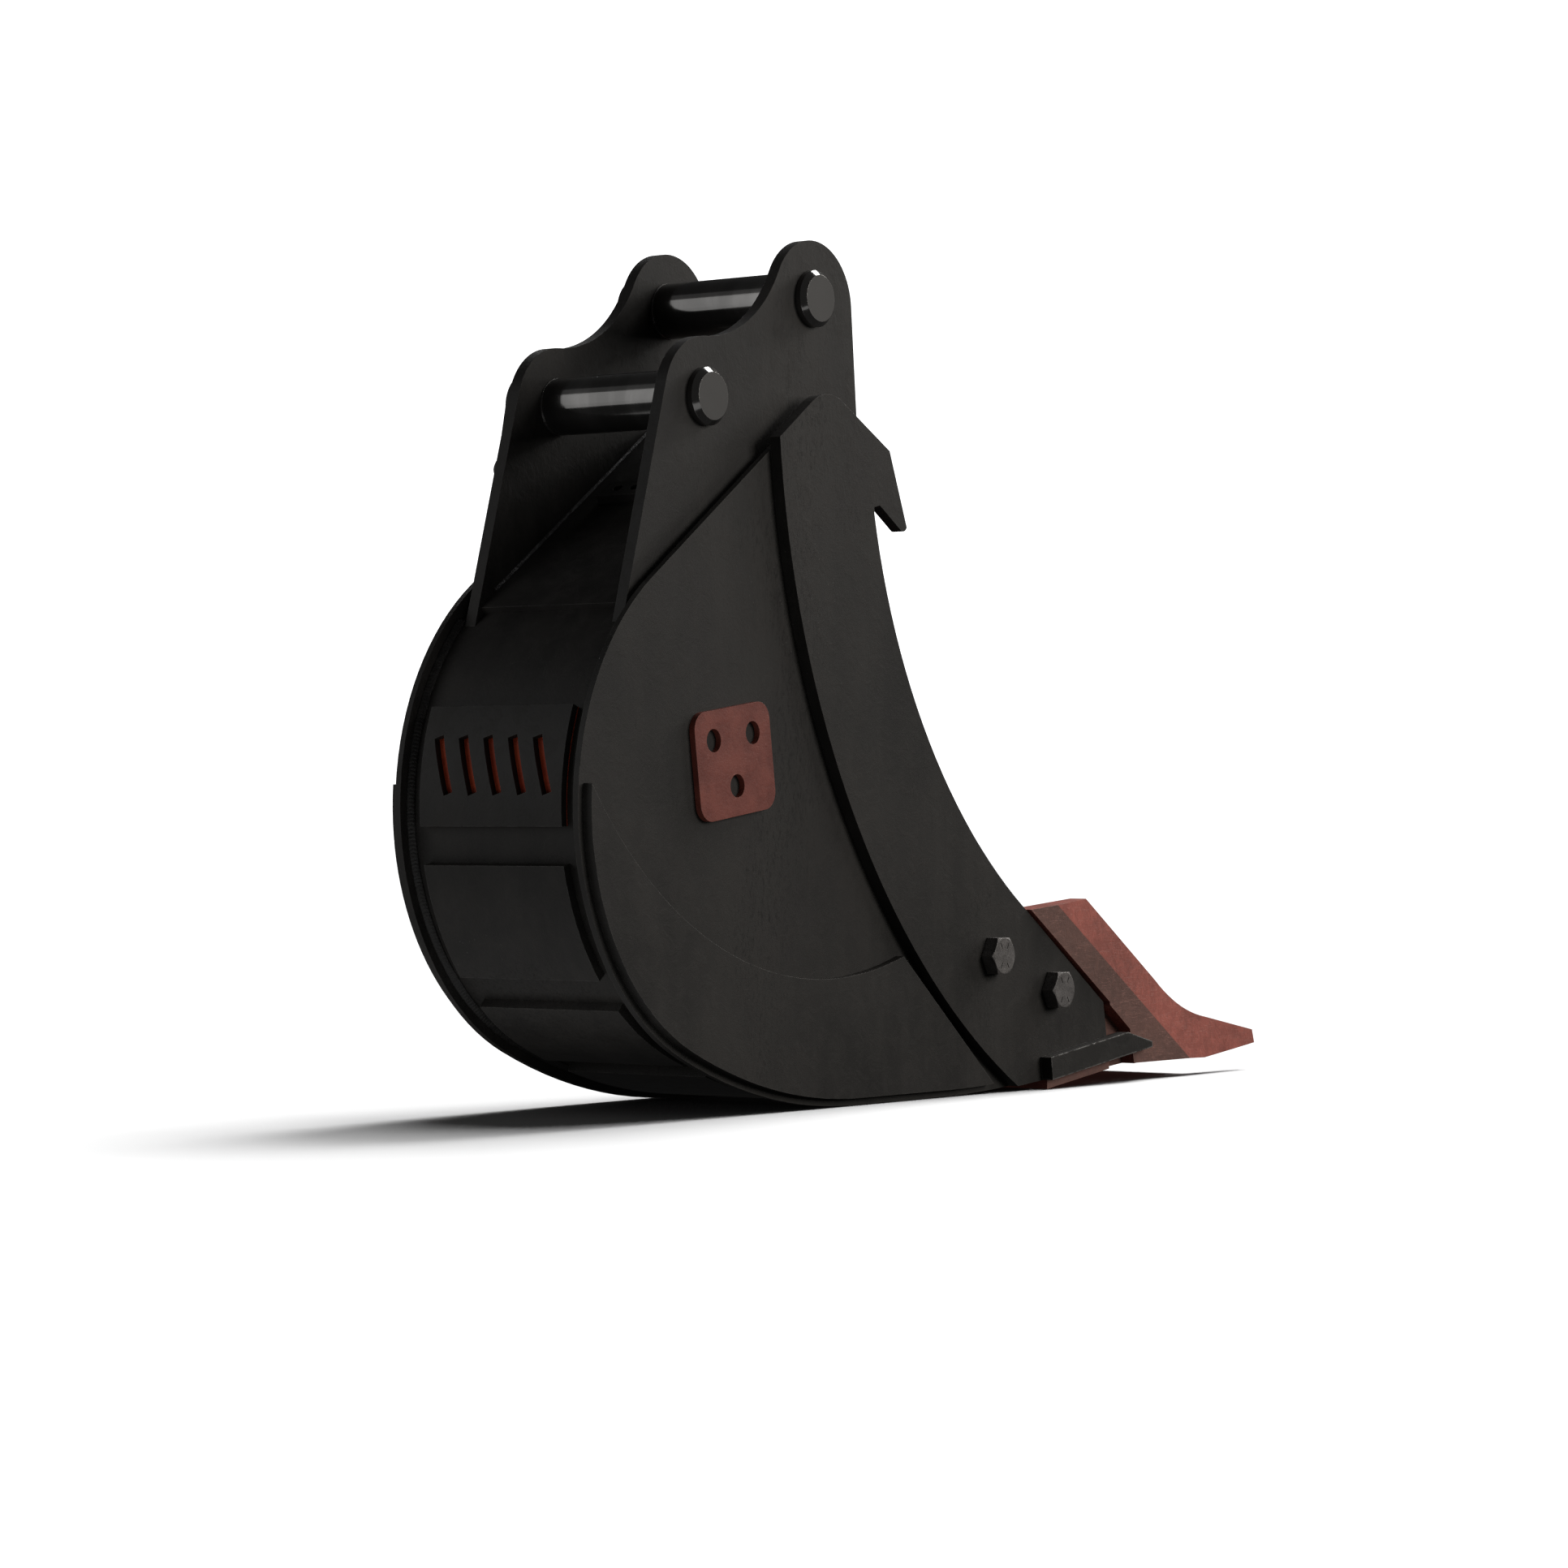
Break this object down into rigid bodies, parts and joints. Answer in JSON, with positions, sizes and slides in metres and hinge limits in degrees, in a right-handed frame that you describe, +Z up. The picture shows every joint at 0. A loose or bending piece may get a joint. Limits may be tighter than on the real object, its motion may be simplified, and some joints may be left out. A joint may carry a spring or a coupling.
{
  "type": "excavator bucket",
  "caption": "Narrow trenching bucket for a small excavator: welded shell between two side plates, pin ears on top, bolted red side cutters and two draw-out pins.",
  "frame": {"origin": "centre of the dipper pin, midway between the two ears", "axes": "+X along the pins towards their flags, +Y to the back of the bucket away from the cutting edge, +Z up with the floor plate lying level"},
  "size_m": [0.223, 0.976, 0.6872],
  "materials": {
    "black_paint": "satin black paint over steel plate",
    "wear_paint": "satin black paint over hard wear plate",
    "red_paint": "scratched red paint over cast steel",
    "badge_paint": "red enamel",
    "pin_steel": "hardened steel, dark oiled",
    "bolt_steel": "dull phosphated steel",
    "weld_bead": "painted weld bead"
  },
  "bodies": {
    "bucket": {"cutter_bolts_left": "bolt_steel", "cutter_bolts_right": "bolt_steel", "cutter_nuts_left": "bolt_steel", "cutter_nuts_right": "bolt_steel", "cutter_washers_left": "bolt_steel", "cutter_washers_right": "bolt_steel", "cutting_edge": "red_paint", "dipper_pin_keeper_boss": "black_paint", "ear_inner_weld_left": "weld_bead", "ear_inner_weld_right": "weld_bead", "ear_left": "black_paint", "ear_pad": "black_paint", "ear_right": "black_paint", "ear_slot_weld_left": "weld_bead", "ear_slot_weld_right": "weld_bead", "header_plate": "black_paint", "hinge_plate": "black_paint", "link_pin_keeper_boss": "black_paint", "name_plate": "black_paint", "name_plate_backing": "badge_paint", "shell_weld_left": "weld_bead", "shell_weld_right": "weld_bead", "side_badge_left": "badge_paint", "side_badge_right": "badge_paint", "side_bar_left": "black_paint", "side_bar_right": "black_paint", "side_cutter_left": "red_paint", "side_cutter_right": "red_paint", "side_plate_left": "black_paint", "side_plate_right": "black_paint", "side_runner_left": "wear_paint", "side_runner_right": "wear_paint", "side_wear_plate_left": "wear_paint", "side_wear_plate_right": "wear_paint", "wear_plate_back": "wear_paint", "wear_plate_belly": "wear_paint", "wear_plate_floor": "wear_paint", "wear_plate_heel": "wear_paint", "wrapper": "black_paint"},
    "dipper_pin_set": {"dipper_pin": "pin_steel", "dipper_pin_flag": "black_paint", "dipper_pin_keeper_bolt": "bolt_steel", "dipper_pin_keeper_washer": "bolt_steel"},
    "link_pin_set": {"link_pin": "pin_steel", "link_pin_flag": "black_paint", "link_pin_keeper_bolt": "bolt_steel", "link_pin_keeper_washer": "bolt_steel"}
  },
  "joints": [
    {"name": "dipper_pin_slide", "type": "slide", "parent": "bucket", "child": "dipper_pin_set", "axis": [1, 0, 0], "range_m": [0, 0.3]},
    {"name": "link_pin_slide", "type": "slide", "parent": "bucket", "child": "link_pin_set", "axis": [1, 0, 0], "range_m": [0, 0.3]}
  ]
}
